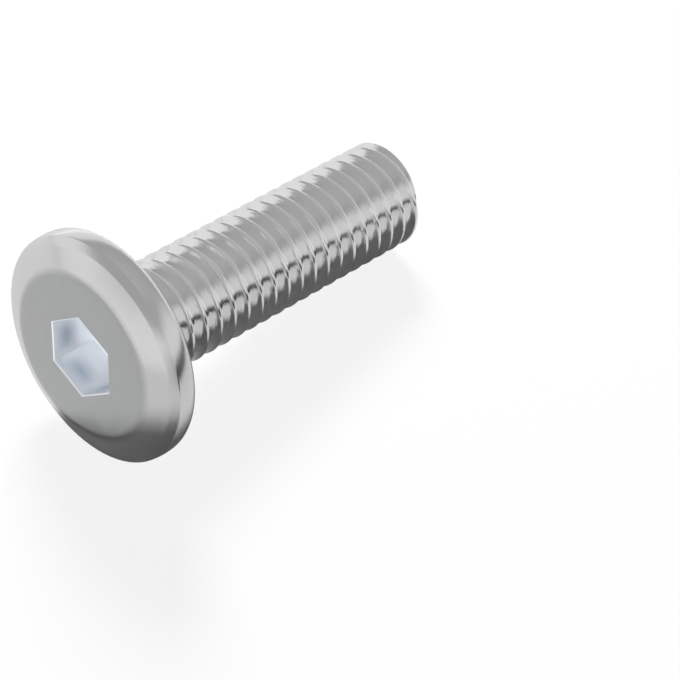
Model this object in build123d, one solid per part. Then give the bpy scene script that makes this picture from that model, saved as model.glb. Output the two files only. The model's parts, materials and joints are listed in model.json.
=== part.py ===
from build123d import *
import math
import os

# All sizes are millimetres and degrees

# Thread: coarse metric M6, right hand, rolled to a rounded crest and cut flat at the tip
thread_d = 6.0
crest_allowance = 0.03
crest_flat = 0.05
crest_overrun = 0.0015
pitch = 1.0
flank_angle = 60.0
shank_length = 20.15
runout_length = 1.0
thread_start_angle = 250.75

# Head: a flat top, a bevel in two slopes, a slightly bulging rim and a chamfered back
head_d = 12.6
head_height = 2.5
rim_bulge = 0.05
rim_width = 1.015
outer_bevel_width = 0.45
outer_bevel_drop = 0.28
inner_bevel_width = 1.3
inner_bevel_drop = 0.62
back_chamfer_width = 0.725
top_edge_radius = 1.2
bevel_edge_radius = 0.9
rim_edge_radius = 0.08
back_edge_radius = 0.45
neck_radius = 0.12

# Hexagon socket for a 4 mm key
key_size = 4.0
key_play = 0.05
socket_depth = 2.7
socket_point_angle = 120.0
socket_corner_angle = 12.55
socket_chamfer = 0.06

# How far the lying screw is turned about its own axis
roll = 54.65

# Worked out from the sizes above
half_flank = math.radians(flank_angle / 2)
sharp_height = pitch / 2 / math.tan(half_flank)
crest_r = (thread_d - crest_allowance) / 2
root_r = thread_d / 2 - sharp_height * 17 / 24
root_radius = sharp_height / 6
groove_centre_r = root_r + root_radius
mouth_r = crest_r + root_radius
sharp_r = thread_d / 2 + sharp_height / 8
crest_gap = sharp_r - crest_r
flank_slant = 1 / math.sin(half_flank)
crest_reach = math.sqrt(crest_gap ** 2 - (flank_slant ** 2 - 1) * (crest_flat / 2) ** 2)
crest_radius = (flank_slant * crest_gap + crest_reach) / (flank_slant ** 2 - 1)
crest_centre_r = sharp_r - crest_radius * flank_slant
rim_edge_r = head_d / 2 - rim_bulge
bevel_r = rim_edge_r - outer_bevel_width
flat_r = bevel_r - inner_bevel_width
bearing_r = rim_edge_r - back_chamfer_width
rim_round_r = (rim_width ** 2 / 4 + rim_bulge ** 2) / (2 * rim_bulge)
rim_middle = head_height - inner_bevel_drop - outer_bevel_drop - rim_width / 2
socket_r = (key_size + key_play) / 2
full_groove_end = -runout_length


def head():
    """The turned head, with its bearing face at height 0 and its flat top upwards."""
    flat = (flat_r, head_height)
    bevel = (bevel_r, head_height - inner_bevel_drop)
    rim_top = (rim_edge_r, rim_middle + rim_width / 2)
    rim_foot = (rim_edge_r, rim_middle - rim_width / 2)
    bearing = (bearing_r, 0)
    neck_top = (crest_r + neck_radius, 0)
    neck_foot = (crest_r, -neck_radius)
    flare = neck_radius * (1 - math.sqrt(0.5))
    section = make_face([
        Line((0, -neck_radius), (0, head_height)),
        Line((0, head_height), flat),
        Line(flat, bevel),
        Line(bevel, rim_top),
        ThreePointArc(rim_top, (head_d / 2, rim_middle), rim_foot),
        Line(rim_foot, bearing),
        Line(bearing, neck_top),
        ThreePointArc(neck_top, (crest_r + flare, -flare), neck_foot),
        Line(neck_foot, (0, -neck_radius)),
    ])
    rounded_edges = (
        (flat, top_edge_radius),
        (bevel, bevel_edge_radius),
        (rim_top, rim_edge_radius),
        (rim_foot, back_edge_radius),
    )
    for corner, radius in rounded_edges:
        vertex = section.vertices().sort_by_distance(corner)[0]
        section = fillet(vertex, radius)
    return revolve(Plane.XZ * section, Axis.Z)


def groove_section(height):
    """The thread groove cut by a plane through the axis: round root, flanks and rounded crest edges."""
    foot_r = groove_centre_r - root_radius * math.sin(half_flank)
    foot_z = root_radius * math.cos(half_flank)
    lip_angle = math.acos((crest_r + crest_overrun - crest_centre_r) / crest_radius)
    shoulder_angle = math.pi / 2 - half_flank
    edges = [ThreePointArc((foot_r, height - foot_z), (root_r, height), (foot_r, height + foot_z))]
    mouth = []
    for side in (-1, 1):
        shoulder, middle, lip = [
            (
                crest_centre_r + crest_radius * math.cos(angle),
                height + side * (pitch / 2 - crest_radius * math.sin(angle)),
            )
            for angle in (shoulder_angle, (shoulder_angle + lip_angle) / 2, lip_angle)
        ]
        mouth.append((mouth_r, lip[1]))
        edges.append(Line((foot_r, height + side * foot_z), shoulder))
        edges.append(ThreePointArc(shoulder, middle, lip))
        edges.append(Line(lip, mouth[-1]))
    edges.append(Line(*mouth))
    return Plane.XZ * make_face(edges)


def grooves():
    """The full groove from past the tip, and the turns in which it rises out of the metal."""
    turns = math.ceil((shank_length + full_groove_end) / pitch + 0.5)
    start = full_groove_end - turns * pitch
    full_path = Helix(pitch, turns * pitch, root_r, center=(0, 0, start))
    rise_angle = math.atan2(mouth_r - root_r, runout_length)
    fading_path = Helix(
        pitch / math.cos(rise_angle),
        runout_length,
        root_r,
        center=(0, 0, full_groove_end),
        cone_angle=math.degrees(rise_angle),
    )
    full = sweep(groove_section(start), path=full_path, is_frenet=True)
    fading = sweep(groove_section(full_groove_end), path=fading_path, is_frenet=True)
    return [Rot(0, 0, thread_start_angle) * cut for cut in (full, fading)]


def socket_cuts():
    """The hexagon hole, its broken edge, and the cone at its bottom."""
    hexagon = RegularPolygon(socket_r, 6, major_radius=False, rotation=socket_corner_angle)
    floor = head_height - socket_depth
    hole = extrude(Pos(0, 0, floor) * hexagon, socket_depth)
    wide = RegularPolygon(
        socket_r + socket_chamfer,
        6,
        major_radius=False,
        rotation=socket_corner_angle,
    )
    mouth = loft([
        Pos(0, 0, head_height) * wide,
        Pos(0, 0, head_height - socket_chamfer) * hexagon,
    ])
    cone_depth = socket_r / math.tan(math.radians(socket_point_angle / 2))
    cone = Pos(0, 0, floor - cone_depth / 2) * Cone(0, socket_r, cone_depth)
    return [hole, mouth, cone]


def last_crest():
    """Height of the outermost whole crest on the side that faces the floor."""
    floor_angle = 180 - roll - thread_start_angle
    crest = full_groove_end + pitch * (floor_angle / 360 - 0.5)
    steps = math.floor((crest - crest_flat / 2 + shank_length) / pitch)
    return crest - steps * pitch - crest_flat / 2


def resting_tilt():
    """Angle of the axis to the floor that the bulging rim and the last crest both touch."""
    across = rim_middle - last_crest()
    down = head_d / 2 - rim_round_r - crest_r
    return math.degrees(math.atan2(down, across) + math.asin(rim_round_r / math.hypot(across, down)))


def screw():
    """The threaded shank and the head made one, with the socket cut last."""
    solid = Pos(0, 0, -shank_length) * Cylinder(
        crest_r,
        shank_length,
        align=(Align.CENTER, Align.CENTER, Align.MIN),
    )
    for cut in grooves():
        solid = solid - cut
    solid = solid + head()
    for cut in socket_cuts():
        solid = solid - cut
    return solid


def laid_down(solid):
    """Lays the screw on its rim and tip, head towards -X, with its footprint about the origin."""
    lying = Rot(0, resting_tilt() - 90, 0) * Rot(0, 0, roll) * solid
    box = lying.bounding_box()
    return Pos(-box.center().X, -box.center().Y, -box.min.Z) * lying


os.makedirs("parts", exist_ok=True)
export_step(laid_down(screw()), "parts/connector_screw.step")
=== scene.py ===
import json
import math

import bpy
from mathutils import Matrix, Vector


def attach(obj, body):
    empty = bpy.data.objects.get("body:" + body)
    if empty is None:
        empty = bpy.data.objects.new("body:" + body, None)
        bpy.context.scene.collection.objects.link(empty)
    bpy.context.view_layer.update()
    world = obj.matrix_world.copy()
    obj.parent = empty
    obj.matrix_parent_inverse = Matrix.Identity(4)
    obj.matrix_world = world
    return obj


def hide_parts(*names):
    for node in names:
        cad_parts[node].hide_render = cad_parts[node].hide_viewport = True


bl_info = {
    "name": "Connector Screw",
    "version": (1, 0, 0),
    "blender": (4, 5, 0),
    "location": "View3D > Sidebar > Screw",
    "description": "Dresses a zinc-plated flat-head socket screw and lights it on a pale floor",
    "category": "Object",
}

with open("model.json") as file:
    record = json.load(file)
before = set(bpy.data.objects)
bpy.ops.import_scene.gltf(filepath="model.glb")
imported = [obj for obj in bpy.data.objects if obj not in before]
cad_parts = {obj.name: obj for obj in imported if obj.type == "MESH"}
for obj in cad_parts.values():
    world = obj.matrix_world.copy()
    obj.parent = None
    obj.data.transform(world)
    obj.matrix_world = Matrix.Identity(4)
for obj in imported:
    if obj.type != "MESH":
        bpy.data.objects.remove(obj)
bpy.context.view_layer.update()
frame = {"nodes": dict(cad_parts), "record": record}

MM = 0.001
NODE = "connector_screw"
BODY = "root"

# The material slots of the screw, in order
HEAD, THREAD, SOCKET, CUT_END = range(4)

# Levels of a noise between which a scratch starts and is whole, and between which a cloud spreads
SCRATCH_START, SCRATCH_WHOLE = 0.695, 0.756
CLOUD_START, CLOUD_WHOLE = 0.3, 0.7

# The two directions of the scratches, and how wide those of the second are against the first
FIRST_TURN, SECOND_TURN = (0.3, 0.9, 0.4), (1.2, 0.2, -0.8)
SECOND_WIDTH = 0.77

# How much rougher a scratch is, and how much of the bright plate shows in one on the darker flat, whose
# darkness is partly duller plate and partly painted shade
SCRATCH_ROUGHNESS = 0.05
SCRATCH_LIGHT = 0.16

# The painted shade on a socket wall, a dark reflection painted into its colour, in millimetres: its fade to
# each side and its depths below the mouth
PAINTED_SHADE_FADE = 0.2
PAINTED_SHADE_TOP, PAINTED_SHADE_UPPER, PAINTED_SHADE_LOWER, PAINTED_SHADE_FOOT = -0.15, -0.85, -0.95, -1.8

# A face that looks this squarely out of the tip belongs to the cut end, if it lies within this slack
TIP_FACING = -0.99
TIP_SLACK = 0.001 * MM

# Slack outside the hexagon's corners, and the shares of the broken edge and neck that a finish reaches to
CORNER_SLACK = 0.01 * MM
EDGE_SHARE = 0.2
NECK_SHARE = 0.5

# The floor as the camera sees it: the share and strength of the white that lifts its shadow
FLOOR_LIFT, FLOOR_WHITE = 0.8, 1.08

# Grey of the room by height, from straight down at 0 to straight up at 1
FAR_SHADES = ((0.0, 1.0), (0.615, 1.0), (0.64, 0.47), (1.0, 0.6))
NEAR_SHADES = ((0.0, 0.25), (0.525, 0.25), (0.55, 0.95), (0.74, 0.88), (0.85, 0.48), (1.0, 0.55))
FAR_LEAN = (-0.055, -0.148, 1.0)

# Where the far side of the room turns into the near side, along Y, and where the horizon lies, along Z
FAR_END, NEAR_START = -0.25, -0.6
HORIZON_FOOT, HORIZON_TOP = -0.005, 0.01

# The room's strength for matt surfaces, what metal sees on top of it, and what is left below the horizon
MATT_SHARE, METAL_EXTRA = 0.2, 0.6
BELOW_SHARE = 0.2

SCREW_MIDDLE = Vector((0, 0, 5 * MM))
SPOT_BLEND = 0.2
SENSOR_WIDTH = 36
CLIP_START, CLIP_END = 0.01, 10
GLOSSY_BOUNCES = 12

mounts = {mount["name"]: mount for mount in frame["record"]["mounts"]}
head_top = Vector(mounts["drive_socket"]["pos_m"])
axis = Vector(mounts["drive_socket"]["axis"]).normalized()
bearing_depth = (head_top - Vector(mounts["bearing_face"]["pos_m"])).dot(axis)
thread_depth = (head_top - Vector(mounts["m6_thread"]["pos_m"])).dot(axis)
# The thread's mount lies halfway along the shank
shank_end_depth = 2 * thread_depth - bearing_depth


def linear(code):
    """The linear colour of an sRGB hex value, with an alpha of 1."""
    parts = [int(code[place:place + 2], 16) / 255 for place in (1, 3, 5)]
    shades = [part / 12.92 if part <= 0.04045 else ((part + 0.055) / 1.055) ** 2.4 for part in parts]
    return (*shades, 1.0)


def colour_property(name, description, code):
    """A colour that a user can change, kept linear."""
    return bpy.props.FloatVectorProperty(
        name=name,
        description=description,
        default=linear(code),
        size=4,
        min=0,
        max=1,
        subtype="COLOR",
    )


def length_property(name, description, millimetres):
    """A length that a user can change, given in millimetres and kept in metres."""
    return bpy.props.FloatProperty(
        name=name,
        description=description,
        default=millimetres * MM,
        min=0,
        precision=5,
        unit="LENGTH",
        subtype="DISTANCE",
    )


def angle_property(name, description, degrees):
    """An angle that a user can change, given in degrees and kept in radians."""
    return bpy.props.FloatProperty(
        name=name,
        description=description,
        default=math.radians(degrees),
        unit="ROTATION",
        subtype="ANGLE",
    )


def share_property(name, description, default):
    """A share from 0 to 1 that a user can change."""
    return bpy.props.FloatProperty(
        name=name,
        description=description,
        default=default,
        min=0,
        max=1,
        subtype="FACTOR",
    )


def place_property(name, description, default):
    """A place in metres that a user can change."""
    return bpy.props.FloatVectorProperty(
        name=name,
        description=description,
        default=default,
        size=3,
        unit="LENGTH",
        subtype="TRANSLATION",
    )


def power_property(name, description, default):
    """A lamp's power in watts that a user can change."""
    return bpy.props.FloatProperty(
        name=name,
        description=description,
        default=default,
        min=0,
        unit="POWER",
    )


class ScrewSizes(bpy.types.PropertyGroup):
    """Sizes of the screw that its finish follows."""

    socket_radius: length_property("Socket radius", "From the axis to a flat of the hexagon", 2.025)
    socket_edge: length_property("Socket edge", "Width of the broken edge round the hexagon", 0.06)
    neck_radius: length_property("Neck radius", "Radius of the curve between head and thread", 0.12)
    merge_distance: length_property("Merge distance", "Corners closer than this become one", 0.0005)
    smooth_angle: angle_property("Smooth angle", "Edges that turn by less are shaded smooth", 35)


class ScrewFinish(bpy.types.PropertyGroup):
    """Colours, roughness and pattern sizes of the plated steel."""

    head_colour: colour_property("Head", "Zinc plate on the head", "#E9E9E9")
    # The flat's darker colour is partly a duller pressed plate and partly painted shade for the dark floor
    # it mirrors
    flat_and_painted_shade_colour: colour_property("Flat", "Duller zinc plate on the pressed flat top", "#C3C4C4")
    thread_colour: colour_property("Thread", "Zinc plate on the rolled thread", "#F3F3F4")
    socket_colour: colour_property("Socket", "Bluish zinc plate inside the socket", "#F1F4F8")
    # Painted shade: the colour of the dark reflection painted into the middle of each socket wall
    painted_reflection_shade_colour: colour_property("Socket patch", "Soft darker middle of a socket wall", "#BCC7D2")
    tip_colour: colour_property("Cut end", "Thin zinc plate on the cut end", "#A9AAAB")
    head_roughness: share_property("Head roughness", "Roughness of the satin plate on the head", 0.2)
    thread_roughness: share_property("Thread roughness", "Roughness of the rolled thread", 0.12)
    socket_roughness: share_property("Socket roughness", "Roughness of the punched socket walls", 0.3)
    tip_roughness: share_property("Cut end roughness", "Roughness of the cut end", 0.42)
    socket_metal: share_property("Socket metal", "The rest is the bluish passive film", 0.6)
    scratch_width: length_property("Scratch width", "Width of a handling scratch", 0.05)
    scratch_length: length_property("Scratch length", "Length of a handling scratch", 1.65)
    grain_size: length_property("Grain size", "Size of the plate's grain", 0.07)
    head_cloud: length_property("Head clouds", "Size of the soft clouds in the head's gloss", 0.83)
    thread_cloud: length_property("Thread clouds", "Size of the soft clouds in the thread's gloss", 0.5)
    tip_cloud: length_property("Cut end clouds", "Size of the clouds in the cut end's gloss", 0.67)
    # Where the flat's darker colour, partly painted shade, ends with a soft fade
    flat_edge: length_property("Flat edge", "From the axis to where the dull flat ends", 4.65)
    flat_fade: length_property("Flat fade", "Width over which the dull flat brightens", 0.4)


class StudioLook(bpy.types.PropertyGroup):
    """The floor, the lamps and the camera."""

    floor_colour: colour_property("Floor", "Pale floor", "#D8D8D8")
    floor_size: length_property("Floor size", "Side of the square floor", 800)
    floor_near: length_property("Near edge", "From the screw to the floor's edge on the camera's side", 34)
    floor_turn: angle_property("Floor turn", "Direction in which the floor reaches away", 60)
    softbox_size: length_property("Softbox size", "Side of the soft square lamp", 140)
    softbox_power: power_property("Softbox power", "Power of the soft square lamp", 2.5)
    softbox_place: place_property("Softbox place", "Place of the soft square lamp", (0.2, 0.25, 0.285))
    spot_power: power_property("Socket lamp power", "Power of the lamp for the socket", 3.75)
    spot_offset: place_property(
        "Socket lamp offset",
        "From the socket to the lamp that lights it",
        (-0.2325, -0.09, 0.0075),
    )
    spot_cone: angle_property("Socket lamp cone", "Whole angle of the lamp for the socket", 3)
    spot_radius: length_property("Socket lamp radius", "Radius of the lamp for the socket", 2)
    lens: bpy.props.FloatProperty(
        name="Focal length",
        description="Focal length in millimetres on a 36 mm sensor",
        default=134.58,
        min=1,
    )
    distance: length_property("Camera distance", "From the camera to the level of its aim", 127.05)
    elevation: angle_property("Camera elevation", "How far the camera looks down", 45.576)
    azimuth: angle_property("Camera azimuth", "Turn of the camera's sight from +X", 43.549)
    aim_right: length_property("Aim to the right", "From the head's top to the camera's aim", 12.9845)
    aim_up: length_property("Aim upwards", "From the head's top to the camera's aim", 0.8743)


def node(tree, kind, settings=None, links=None):
    """Adds a node, sets its properties and inputs, and links its inputs to other nodes' outputs."""
    made = tree.nodes.new(kind)
    for key, value in (settings or {}).items():
        if isinstance(key, str) and hasattr(made, key):
            setattr(made, key, value)
        else:
            made.inputs[key].default_value = value
    for key, source in (links or {}).items():
        tree.links.new(source, made.inputs[key])
    return made


def new_material(name):
    """An empty node material and its tree."""
    material = bpy.data.materials.new(name)
    material.use_nodes = True
    material.node_tree.nodes.clear()
    return material, material.node_tree


def screw_axes():
    """The turn that lays the screw's own axes in the frame: Z out of the head, Y across, X up."""
    across = Vector((0, 1, 0))
    return Matrix((across.cross(axis), across, axis)).transposed()


def screw_place(tree):
    """Place on the screw in millimetres: Z runs out of the head from its top, X and Y lie across."""
    coordinates = node(tree, "ShaderNodeTexCoord")
    return node(
        tree,
        "ShaderNodeMapping",
        {
            "vector_type": "TEXTURE",
            "Location": head_top,
            "Rotation": screw_axes().to_euler(),
            "Scale": (MM, MM, MM),
        },
        {"Vector": coordinates.outputs["Object"]},
    ).outputs["Vector"]


def from_axis(tree, place):
    """Distance from the screw's axis, in millimetres."""
    across = node(tree, "ShaderNodeVectorMath", {"operation": "MULTIPLY", 1: (1, 1, 0)}, {0: place})
    length = node(tree, "ShaderNodeVectorMath", {"operation": "LENGTH"}, {0: across.outputs[0]})
    return length.outputs["Value"]


def scratches(tree, place, look, turn, width_share):
    """Straight scratches in one direction: a noise drawn out along it and kept only at its peaks."""
    width = look.scratch_width * width_share
    drawn_out = width / look.scratch_length
    turned = node(
        tree,
        "ShaderNodeMapping",
        {"Rotation": turn, "Scale": (drawn_out, 1, drawn_out)},
        {"Vector": place},
    )
    streaks = node(
        tree,
        "ShaderNodeTexNoise",
        {"Scale": MM / width, "Detail": 0.0},
        {"Vector": turned.outputs["Vector"]},
    )
    return node(
        tree,
        "ShaderNodeMapRange",
        {"From Min": SCRATCH_START, "From Max": SCRATCH_WHOLE},
        {"Value": streaks.outputs["Fac"]},
    ).outputs["Result"]


def handled_plate(tree, place, look, roughness, uneven, cloud, scratch_depth, grain_depth):
    """What all outer faces share: cloudy gloss, grain and handling scratches, with depths in millimetres."""
    clouds = node(
        tree,
        "ShaderNodeTexNoise",
        {"Scale": MM / cloud, "Detail": 4.0, "Roughness": 0.6},
        {"Vector": place},
    )
    gloss = node(
        tree,
        "ShaderNodeMapRange",
        {
            "From Min": CLOUD_START,
            "From Max": CLOUD_WHOLE,
            "To Min": roughness - uneven,
            "To Max": roughness + uneven,
        },
        {"Value": clouds.outputs["Fac"]},
    )
    # Real handling scratches are about 0.01 mm wide: they are drawn five times as wide, so that they show
    first = scratches(tree, place, look, FIRST_TURN, 1.0)
    second = scratches(tree, place, look, SECOND_TURN, SECOND_WIDTH)
    scratched = node(
        tree,
        "ShaderNodeMath",
        {"operation": "MAXIMUM"},
        {0: first, 1: second},
    ).outputs[0]
    rough = node(
        tree,
        "ShaderNodeMath",
        {"operation": "MULTIPLY_ADD", 1: SCRATCH_ROUGHNESS},
        {0: scratched, 2: gloss.outputs["Result"]},
    ).outputs[0]
    # Zinc crystals are about 0.005 mm wide: the grain is drawn nearly two pixels of the render wide
    grain = node(
        tree,
        "ShaderNodeTexNoise",
        {"Scale": MM / look.grain_size, "Detail": 3.0, "Roughness": 0.65},
        {"Vector": place},
    )
    grained = node(
        tree,
        "ShaderNodeBump",
        {"Strength": 1.0, "Distance": grain_depth * MM},
        {"Height": grain.outputs["Fac"]},
    )
    cut = node(
        tree,
        "ShaderNodeBump",
        {"Strength": 1.0, "Distance": scratch_depth * MM, "invert": True},
        {"Height": scratched, "Normal": grained.outputs["Normal"]},
    )
    return rough, cut.outputs["Normal"], scratched


def satin_head(look):
    """Electroplated zinc on the cold-forged head."""
    # The tumbled blank under the plate gives a satin silver grey. The punch pressed the flat top duller, and
    # its darker colour is also painted shade for the dark floor that the flat mirrors; it reaches up to a
    # soft edge at the bevel, and its scratches show lighter than the flat.
    material, tree = new_material("zinc_plate_satin")
    place = screw_place(tree)
    rough, normal, scratched = handled_plate(
        tree,
        place,
        look,
        look.head_roughness,
        uneven=0.02,
        cloud=look.head_cloud,
        scratch_depth=0.00005,
        grain_depth=0.00008,
    )
    bevel = node(
        tree,
        "ShaderNodeMapRange",
        {
            "From Min": (look.flat_edge - look.flat_fade / 2) / MM,
            "From Max": (look.flat_edge + look.flat_fade / 2) / MM,
        },
        {"Value": from_axis(tree, place)},
    )
    light_lines = node(
        tree,
        "ShaderNodeMath",
        {"operation": "MULTIPLY", 1: SCRATCH_LIGHT},
        {0: scratched},
    )
    bright = node(
        tree,
        "ShaderNodeMath",
        {"operation": "MAXIMUM"},
        {0: bevel.outputs["Result"], 1: light_lines.outputs[0]},
    )
    # Mixes the flat's darker colour, partly duller plate and partly painted shade, into the head's colour
    colour = node(
        tree,
        "ShaderNodeMix",
        {"data_type": "RGBA", 6: look.flat_and_painted_shade_colour, 7: look.head_colour},
        {0: bright.outputs[0]},
    )
    surface = node(
        tree,
        "ShaderNodeBsdfPrincipled",
        {"Metallic": 1.0},
        {"Base Color": colour.outputs[2], "Roughness": rough, "Normal": normal},
    )
    node(tree, "ShaderNodeOutputMaterial", links={"Surface": surface.outputs["BSDF"]})
    return material


def worked_plate(name, look, colour, roughness, **marks):
    """Zinc plate of one colour with the marks that the outer faces share."""
    material, tree = new_material(name)
    rough, normal = handled_plate(tree, screw_place(tree), look, roughness, **marks)[:2]
    surface = node(
        tree,
        "ShaderNodeBsdfPrincipled",
        {"Base Color": colour, "Metallic": 1.0},
        {"Roughness": rough, "Normal": normal},
    )
    node(tree, "ShaderNodeOutputMaterial", links={"Surface": surface.outputs["BSDF"]})
    return material


def rolled_thread(look):
    """Electroplated zinc on the rolled thread."""
    # The rolling dies burnish the flanks, so they mirror the room more sharply than the head does
    return worked_plate(
        "zinc_plate_rolled",
        look,
        look.thread_colour,
        look.thread_roughness,
        uneven=0.02,
        cloud=look.thread_cloud,
        scratch_depth=0.00012,
        grain_depth=0.0001,
    )


def cut_end(look):
    """Electroplated zinc on the sheared end of the shank."""
    # Shearing tears the steel, so the end is rougher, matt and darker, with a thinner plate
    return worked_plate(
        "zinc_plate_cut",
        look,
        look.tip_colour,
        look.tip_roughness,
        uneven=0.05,
        cloud=look.tip_cloud,
        scratch_depth=0.0006,
        grain_depth=0.0006,
    )


def blue_socket(look, sizes):
    """Blue-passivated zinc in the punched hexagon."""
    # The passive film over the zinc reads as a pale milky blue. Each wall has painted shade in its middle, a
    # dark reflection painted in 0.15 to 1.8 mm below the mouth, and is light at its corners.
    material, tree = new_material("zinc_plate_blue")
    place = screw_place(tree)
    wall = sizes.socket_radius / MM
    wall_middle = node(
        tree,
        "ShaderNodeMapRange",
        {"From Min": wall, "From Max": wall + PAINTED_SHADE_FADE, "To Min": 1.0, "To Max": 0.0},
        {"Value": from_axis(tree, place)},
    )
    parts = node(tree, "ShaderNodeSeparateXYZ", links={0: place})
    below_mouth = node(
        tree,
        "ShaderNodeMapRange",
        {"From Min": PAINTED_SHADE_TOP, "From Max": PAINTED_SHADE_UPPER},
        {"Value": parts.outputs["Z"]},
    )
    above_foot = node(
        tree,
        "ShaderNodeMapRange",
        {"From Min": PAINTED_SHADE_FOOT, "From Max": PAINTED_SHADE_LOWER},
        {"Value": parts.outputs["Z"]},
    )
    belt = node(
        tree,
        "ShaderNodeMath",
        {"operation": "MULTIPLY"},
        {0: below_mouth.outputs["Result"], 1: above_foot.outputs["Result"]},
    )
    # The painted shade: a dark reflection painted into the middle of each wall
    patch = node(
        tree,
        "ShaderNodeMath",
        {"operation": "MULTIPLY"},
        {0: belt.outputs[0], 1: wall_middle.outputs["Result"]},
    )
    colour = node(
        tree,
        "ShaderNodeMix",
        {"data_type": "RGBA", 6: look.socket_colour, 7: look.painted_reflection_shade_colour},
        {0: patch.outputs[0]},
    )
    surface = node(
        tree,
        "ShaderNodeBsdfPrincipled",
        {"Metallic": look.socket_metal, "Roughness": look.socket_roughness},
        {"Base Color": colour.outputs[2]},
    )
    node(tree, "ShaderNodeOutputMaterial", links={"Surface": surface.outputs["BSDF"]})
    return material


def select_only(thing):
    """Deselects all and makes one object selected and active."""
    bpy.ops.object.select_all(action="DESELECT")
    thing.select_set(True)
    bpy.context.view_layer.objects.active = thing


def finish_number(face, sizes):
    """Which finish a face has, from its place and the way that it faces."""
    offset = face.center - head_top
    depth = -offset.dot(axis)
    radius = (offset + axis * depth).length
    if depth > shank_end_depth - TIP_SLACK and face.normal.dot(axis) < TIP_FACING:
        return CUT_END
    hexagon_corner = sizes.socket_radius / math.cos(math.pi / 6) + CORNER_SLACK
    if radius < hexagon_corner and depth > sizes.socket_edge * EDGE_SHARE:
        return SOCKET
    if depth > bearing_depth + sizes.neck_radius * NECK_SHARE:
        return THREAD
    return HEAD


class SCREW_OT_dress(bpy.types.Operator):
    """Smooths the screw and gives its head, thread, socket and cut end their own finish"""

    bl_idname = "screw.dress"
    bl_label = "Dress the screw"

    def execute(self, context):
        sizes = context.scene.screw_sizes
        look = context.scene.screw_finish
        if NODE not in frame["nodes"]:
            raise RuntimeError("The frame has no node named " + NODE)
        made = frame["nodes"][NODE].copy()
        made.data = made.data.copy()
        made.name = "plated_screw"
        made.parent = None
        for key in list(made.keys()):
            del made[key]
        context.scene.collection.objects.link(made)
        select_only(made)
        if made.data.has_custom_normals:
            bpy.ops.mesh.customdata_custom_splitnormals_clear()
        bpy.ops.object.mode_set(mode="EDIT")
        bpy.ops.mesh.select_all(action="SELECT")
        bpy.ops.mesh.remove_doubles(threshold=sizes.merge_distance)
        bpy.ops.object.mode_set(mode="OBJECT")
        bpy.ops.object.shade_smooth_by_angle(angle=sizes.smooth_angle, keep_sharp_edges=False)
        weighted = made.modifiers.new("even_faces", "WEIGHTED_NORMAL")
        weighted.keep_sharp = True
        bpy.ops.object.modifier_apply(modifier=weighted.name)
        made.data.materials.clear()
        for material in (satin_head(look), rolled_thread(look), blue_socket(look, sizes), cut_end(look)):
            made.data.materials.append(material)
        for face in made.data.polygons:
            face.material_index = finish_number(face, sizes)
        if {face.material_index for face in made.data.polygons} != {HEAD, THREAD, SOCKET, CUT_END}:
            raise RuntimeError("A finish of the screw has no face")
        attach(made, BODY)
        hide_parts(NODE)
        return {"FINISHED"}


def floor_material(look):
    """Matt pale board: its own grey lights the screw, and the camera sees it white with the shadow kept."""
    material, tree = new_material("pale_board")
    board = node(tree, "ShaderNodeBsdfDiffuse", {"Color": look.floor_colour})
    white = node(tree, "ShaderNodeEmission", {"Color": (1, 1, 1, 1), "Strength": FLOOR_WHITE})
    lifted = node(
        tree,
        "ShaderNodeMixShader",
        {0: FLOOR_LIFT},
        {1: board.outputs[0], 2: white.outputs[0]},
    )
    rays = node(tree, "ShaderNodeLightPath")
    shown = node(
        tree,
        "ShaderNodeMixShader",
        links={0: rays.outputs["Is Camera Ray"], 1: board.outputs[0], 2: lifted.outputs[0]},
    )
    node(tree, "ShaderNodeOutputMaterial", links={"Surface": shown.outputs[0]})
    return material


def room_shades(tree, height, steps):
    """Shades of grey by height, from straight down at 0 to straight up at 1."""
    level = node(tree, "ShaderNodeMapRange", {"From Min": -1.0, "From Max": 1.0}, {"Value": height})
    shades = node(tree, "ShaderNodeValToRGB", links={"Fac": level.outputs["Result"]})
    elements = shades.color_ramp.elements
    for place, shade in steps[1:-1]:
        elements.new(place)
    for element, (place, shade) in zip(elements, steps):
        element.position = place
        element.color = (shade, shade, shade, 1)
    return shades.outputs["Color"]


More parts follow.
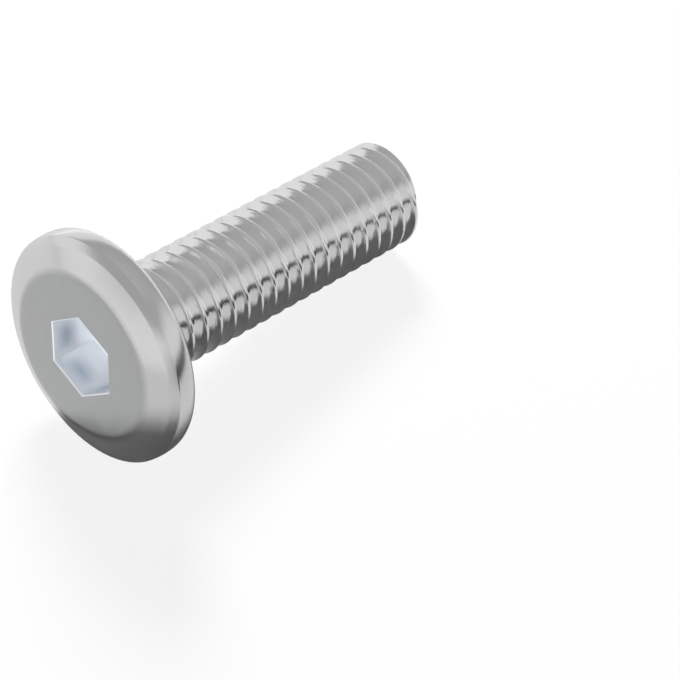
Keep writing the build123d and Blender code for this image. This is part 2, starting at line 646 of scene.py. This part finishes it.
def studio_world():
    """The room that the metal mirrors: grey ceiling, bright walls, a dark gap on the camera's side."""
    world = bpy.data.worlds.new("studio")
    world.use_nodes = True
    tree = world.node_tree
    tree.nodes.clear()
    direction = node(tree, "ShaderNodeTexCoord").outputs["Generated"]
    parts = node(tree, "ShaderNodeSeparateXYZ", links={0: direction})
    leaning = node(tree, "ShaderNodeVectorMath", {"operation": "DOT_PRODUCT", 1: FAR_LEAN}, {0: direction})
    nearness = node(
        tree,
        "ShaderNodeMapRange",
        {"From Min": FAR_END, "From Max": NEAR_START},
        {"Value": parts.outputs["Y"]},
    ).outputs["Result"]
    shades = node(
        tree,
        "ShaderNodeMix",
        {"data_type": "RGBA"},
        {
            0: nearness,
            6: room_shades(tree, leaning.outputs["Value"], FAR_SHADES),
            7: room_shades(tree, parts.outputs["Z"], NEAR_SHADES),
        },
    )
    # Metal sees the room at four fifths, and matt surfaces are lit by one fifth of it
    rays = node(tree, "ShaderNodeLightPath")
    share = node(
        tree,
        "ShaderNodeMath",
        {"operation": "MULTIPLY_ADD", 1: METAL_EXTRA, 2: MATT_SHARE},
        {0: rays.outputs["Is Glossy Ray"]},
    )
    # Below the horizon the camera's side is nearly dark, where the floor ends close to the screw
    above = node(
        tree,
        "ShaderNodeMapRange",
        {"From Min": HORIZON_FOOT, "From Max": HORIZON_TOP},
        {"Value": parts.outputs["Z"]},
    )
    farness = node(tree, "ShaderNodeMath", {"operation": "SUBTRACT", 0: 1.0}, {1: nearness})
    lit = node(
        tree,
        "ShaderNodeMath",
        {"operation": "MAXIMUM"},
        {0: above.outputs["Result"], 1: farness.outputs[0]},
    )
    dimmed = node(
        tree,
        "ShaderNodeMath",
        {"operation": "MULTIPLY_ADD", 1: 1 - BELOW_SHARE, 2: BELOW_SHARE},
        {0: lit.outputs[0]},
    )
    strength = node(
        tree,
        "ShaderNodeMath",
        {"operation": "MULTIPLY"},
        {0: share.outputs[0], 1: dimmed.outputs[0]},
    )
    room = node(
        tree,
        "ShaderNodeBackground",
        links={"Color": shades.outputs[2], "Strength": strength.outputs[0]},
    )
    white = node(tree, "ShaderNodeBackground", {"Color": (1, 1, 1, 1), "Strength": 1.0})
    shown = node(
        tree,
        "ShaderNodeMixShader",
        links={0: rays.outputs["Is Camera Ray"], 1: room.outputs[0], 2: white.outputs[0]},
    )
    node(tree, "ShaderNodeOutputWorld", links={"Surface": shown.outputs[0]})
    return world


def add_lamp(kind, name, power, place, target):
    """A lamp that faces a point and isn't itself mirrored in the metal."""
    bpy.ops.object.light_add(type=kind, location=place)
    lamp = bpy.context.object
    lamp.name = name
    lamp.data.energy = power
    lamp.visible_glossy = False
    lamp.rotation_euler = (target - Vector(place)).to_track_quat("-Z", "Y").to_euler()
    return lamp.data


def add_camera(look):
    """The photograph's camera: no roll and no shift, aimed from the head's top."""
    sight = Vector((
        math.cos(look.azimuth) * math.cos(look.elevation),
        math.sin(look.azimuth) * math.cos(look.elevation),
        -math.sin(look.elevation),
    ))
    right = sight.cross(Vector((0, 0, 1))).normalized()
    up = right.cross(sight)
    aim = head_top + right * look.aim_right + up * look.aim_up
    data = bpy.data.cameras.new("camera")
    data.lens = look.lens
    data.sensor_width = SENSOR_WIDTH
    data.clip_start = CLIP_START
    data.clip_end = CLIP_END
    camera = bpy.data.objects.new("camera", data)
    bpy.context.scene.collection.objects.link(camera)
    camera.location = aim - sight * look.distance
    camera.rotation_euler = Matrix((right, up, -sight)).transposed().to_euler()
    bpy.context.scene.camera = camera


class SCREW_OT_studio(bpy.types.Operator):
    """Adds the pale floor, the two lamps, the room light and the camera"""

    bl_idname = "screw.studio"
    bl_label = "Set up the studio"

    def execute(self, context):
        look = context.scene.studio_look
        bpy.ops.object.select_all(action="DESELECT")
        away = Vector((math.cos(look.floor_turn), math.sin(look.floor_turn), 0))
        bpy.ops.mesh.primitive_plane_add(
            size=look.floor_size,
            location=away * (look.floor_size / 2 - look.floor_near),
            rotation=(0, 0, look.floor_turn),
        )
        floor = context.object
        floor.name = "floor"
        floor.data.materials.append(floor_material(look))
        context.scene.world = studio_world()
        softbox = add_lamp("AREA", "softbox", look.softbox_power, look.softbox_place, SCREW_MIDDLE)
        softbox.shape = "SQUARE"
        softbox.size = look.softbox_size
        # The steep socket gets no light from the softbox, so a narrow lamp lights it alone
        spot_place = head_top + Vector(look.spot_offset)
        spot = add_lamp("SPOT", "socket_spot", look.spot_power, spot_place, head_top)
        spot.spot_size = look.spot_cone
        spot.spot_blend = SPOT_BLEND
        spot.shadow_soft_size = look.spot_radius
        # Light is mirrored many times between the flanks of the thread
        context.scene.cycles.glossy_bounces = GLOSSY_BOUNCES
        add_camera(look)
        context.scene.view_settings.view_transform = "Standard"
        if context.scene.camera is None:
            raise RuntimeError("The studio has no camera")
        return {"FINISHED"}


class SCREW_PT_panel(bpy.types.Panel):
    """Lists the sizes, the finishes, the studio and the steps"""

    bl_label = "Connector screw"
    bl_idname = "SCREW_PT_panel"
    bl_space_type = "VIEW_3D"
    bl_region_type = "UI"
    bl_category = "Screw"

    def draw(self, context):
        for group in groups:
            box = self.layout.box()
            owner = getattr(context.scene, group)
            for name in owner.bl_rna.properties.keys():
                if name not in ("rna_type", "name"):
                    box.prop(owner, name)
        for operator in operators:
            self.layout.operator(operator.bl_idname)


groups = {
    "screw_sizes": ScrewSizes,
    "screw_finish": ScrewFinish,
    "studio_look": StudioLook,
}
operators = (SCREW_OT_dress, SCREW_OT_studio)
classes = (*groups.values(), *operators, SCREW_PT_panel)


def register():
    """Registers the classes and gives the scene their properties."""
    for entry in classes:
        bpy.utils.register_class(entry)
    for name, group in groups.items():
        setattr(bpy.types.Scene, name, bpy.props.PointerProperty(type=group))


def unregister():
    """Takes the properties and the classes away again."""
    for name in groups:
        delattr(bpy.types.Scene, name)
    for entry in reversed(classes):
        bpy.utils.unregister_class(entry)


def main():
    """Registers the add-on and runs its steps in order."""
    register()
    bpy.ops.screw.dress()
    bpy.ops.screw.studio()


if __name__ == "__main__":
    main()
